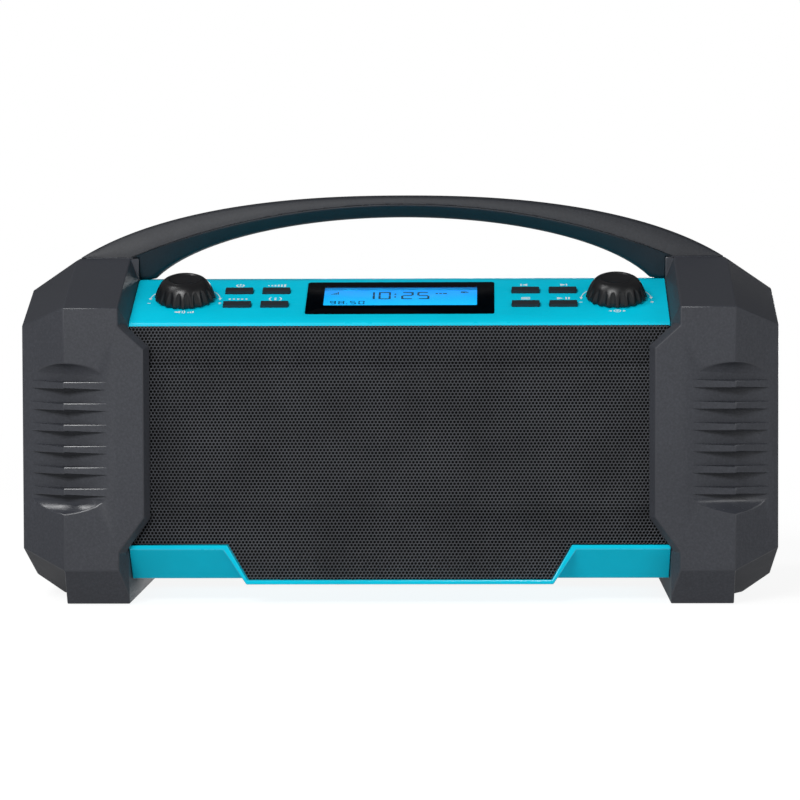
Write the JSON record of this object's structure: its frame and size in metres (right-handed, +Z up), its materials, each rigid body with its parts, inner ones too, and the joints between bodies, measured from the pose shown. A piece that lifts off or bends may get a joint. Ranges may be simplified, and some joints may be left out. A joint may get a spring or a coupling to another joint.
{
  "type": "jobsite radio",
  "caption": "Jobsite radio with a teal housing, faceted charcoal end caps, arched carrying handle, perforated speaker grille, sloped control panel, display and push-turn knobs.",
  "frame": {"origin": "on the floor, in the middle of the radio's width and depth", "axes": "+Z up, the grille faces -Y, +X to the right seen from the front"},
  "size_m": [0.4, 0.18, 0.2168],
  "materials": {
    "teal_plastic": "satin, fine grain",
    "charcoal_plastic": "fine grain",
    "grip_plastic": "satin",
    "pad_rubber": "matte",
    "grille_steel": "powder coated",
    "button_plastic": "satin",
    "knob_plastic": "satin",
    "lens_plastic": "gloss",
    "display_glass": "lit from behind",
    "light_guide": "gloss",
    "board_laminate": "satin",
    "dark_plastic": "satin",
    "socket_metal": "bright",
    "screw_steel": "zinc plated",
    "basket_steel": "satin",
    "magnet_steel": "dull",
    "cone_paper": "coated",
    "surround_rubber": "matte",
    "copper_winding": "lacquered",
    "shaft_aluminium": "turned",
    "heatsink_aluminium": "anodised",
    "pack_sleeve": "shrink sleeve"
  },
  "bodies": {
    "cabinet": {"front_housing": "teal_plastic", "rear_cover": "charcoal_plastic", "left_end_cap": "charcoal_plastic", "right_end_cap": "charcoal_plastic", "handle_upper": "charcoal_plastic", "handle_grip": "grip_plastic", "foot_pads": "pad_rubber", "speaker_grille": "grille_steel", "speaker_gaskets": "surround_rubber", "left_speaker_frame": "basket_steel", "right_speaker_frame": "basket_steel", "left_speaker_magnet": "magnet_steel", "right_speaker_magnet": "magnet_steel", "left_speaker_surround": "surround_rubber", "right_speaker_surround": "surround_rubber", "display_lens": "lens_plastic", "display_glass": "display_glass", "display_backlight": "light_guide", "control_board": "board_laminate", "key_switches": "dark_plastic", "volume_encoder": "socket_metal", "tuning_encoder": "socket_metal", "main_board": "board_laminate", "board_parts": "heatsink_aluminium", "battery_pack": "pack_sleeve", "battery_door": "charcoal_plastic", "socket_board": "board_laminate", "power_socket": "dark_plastic", "audio_socket": "dark_plastic", "usb_socket": "socket_metal", "case_screws": "screw_steel", "cap_screws": "screw_steel", "handle_screws": "screw_steel", "speaker_screws": "screw_steel", "small_screws": "screw_steel"},
    "volume_plunger_body": {"volume_plunger": "light_guide"},
    "tuning_plunger_body": {"tuning_plunger": "light_guide"},
    "volume_knob_body": {"volume_knob": "knob_plastic", "volume_shaft": "shaft_aluminium"},
    "tuning_knob_body": {"tuning_knob": "knob_plastic", "tuning_shaft": "shaft_aluminium"},
    "left_cone_body": {"left_speaker_cone": "cone_paper", "left_dust_cap": "cone_paper", "left_voice_coil": "copper_winding"},
    "right_cone_body": {"right_speaker_cone": "cone_paper", "right_dust_cap": "cone_paper", "right_voice_coil": "copper_winding"},
    "socket_cover_body": {"socket_cover": "pad_rubber"},
    "aerial_body": {"aerial_base": "dark_plastic", "aerial_mast": "pad_rubber", "aerial_ring": "screw_steel"},
    "power_button_body": {"power_button": "button_plastic"},
    "mode_button_body": {"mode_button": "button_plastic"},
    "preset_button_body": {"preset_button": "button_plastic"},
    "info_button_body": {"info_button": "button_plastic"},
    "previous_button_body": {"previous_button": "button_plastic"},
    "next_button_body": {"next_button": "button_plastic"},
    "menu_button_body": {"menu_button": "button_plastic"},
    "play_button_body": {"play_button": "button_plastic"}
  },
  "joints": [
    {"name": "volume_push", "type": "slide", "parent": "cabinet", "child": "volume_plunger_body", "axis": [0, 0.342, -0.9397], "range_m": [0, 0.0008], "stiffness_N_per_m": 1200},
    {"name": "volume_turn", "type": "hinge", "parent": "volume_plunger_body", "child": "volume_knob_body", "pos_m": [-0.1154, -0.04762, 0.16103], "axis": [0, -0.342, 0.9397], "continuous": true},
    {"name": "tuning_push", "type": "slide", "parent": "cabinet", "child": "tuning_plunger_body", "axis": [0, 0.342, -0.9397], "range_m": [0, 0.0008], "stiffness_N_per_m": 1200},
    {"name": "tuning_turn", "type": "hinge", "parent": "tuning_plunger_body", "child": "tuning_knob_body", "pos_m": [0.1154, -0.04762, 0.16103], "axis": [0, -0.342, 0.9397], "continuous": true},
    {"name": "power_press", "type": "slide", "parent": "cabinet", "child": "power_button_body", "axis": [0, 0.342, -0.9397], "range_m": [0, 0.0008], "stiffness_N_per_m": 900},
    {"name": "mode_press", "type": "slide", "parent": "cabinet", "child": "mode_button_body", "axis": [0, 0.342, -0.9397], "range_m": [0, 0.0008], "stiffness_N_per_m": 900},
    {"name": "preset_press", "type": "slide", "parent": "cabinet", "child": "preset_button_body", "axis": [0, 0.342, -0.9397], "range_m": [0, 0.0008], "stiffness_N_per_m": 900},
    {"name": "info_press", "type": "slide", "parent": "cabinet", "child": "info_button_body", "axis": [0, 0.342, -0.9397], "range_m": [0, 0.0008], "stiffness_N_per_m": 900},
    {"name": "previous_press", "type": "slide", "parent": "cabinet", "child": "previous_button_body", "axis": [0, 0.342, -0.9397], "range_m": [0, 0.0008], "stiffness_N_per_m": 900},
    {"name": "next_press", "type": "slide", "parent": "cabinet", "child": "next_button_body", "axis": [0, 0.342, -0.9397], "range_m": [0, 0.0008], "stiffness_N_per_m": 900},
    {"name": "menu_press", "type": "slide", "parent": "cabinet", "child": "menu_button_body", "axis": [0, 0.342, -0.9397], "range_m": [0, 0.0008], "stiffness_N_per_m": 900},
    {"name": "play_press", "type": "slide", "parent": "cabinet", "child": "play_button_body", "axis": [0, 0.342, -0.9397], "range_m": [0, 0.0008], "stiffness_N_per_m": 900},
    {"name": "left_cone_travel", "type": "slide", "parent": "cabinet", "child": "left_cone_body", "axis": [0, -1, 0], "range_m": [-0.0015, 0.0015], "stiffness_N_per_m": 1500},
    {"name": "right_cone_travel", "type": "slide", "parent": "cabinet", "child": "right_cone_body", "axis": [0, -1, 0], "range_m": [-0.0015, 0.0015], "stiffness_N_per_m": 1500},
    {"name": "socket_cover_lift", "type": "hinge", "parent": "cabinet", "child": "socket_cover_body", "pos_m": [-0.092, 0.078, 0.0692], "axis": [1, 0, 0], "range_deg": [0, 92]},
    {"name": "aerial_swing", "type": "hinge", "parent": "cabinet", "child": "aerial_body", "pos_m": [0.118, 0.0848, 0.132], "axis": [0, 1, 0], "range_deg": [0, 100]}
  ]
}
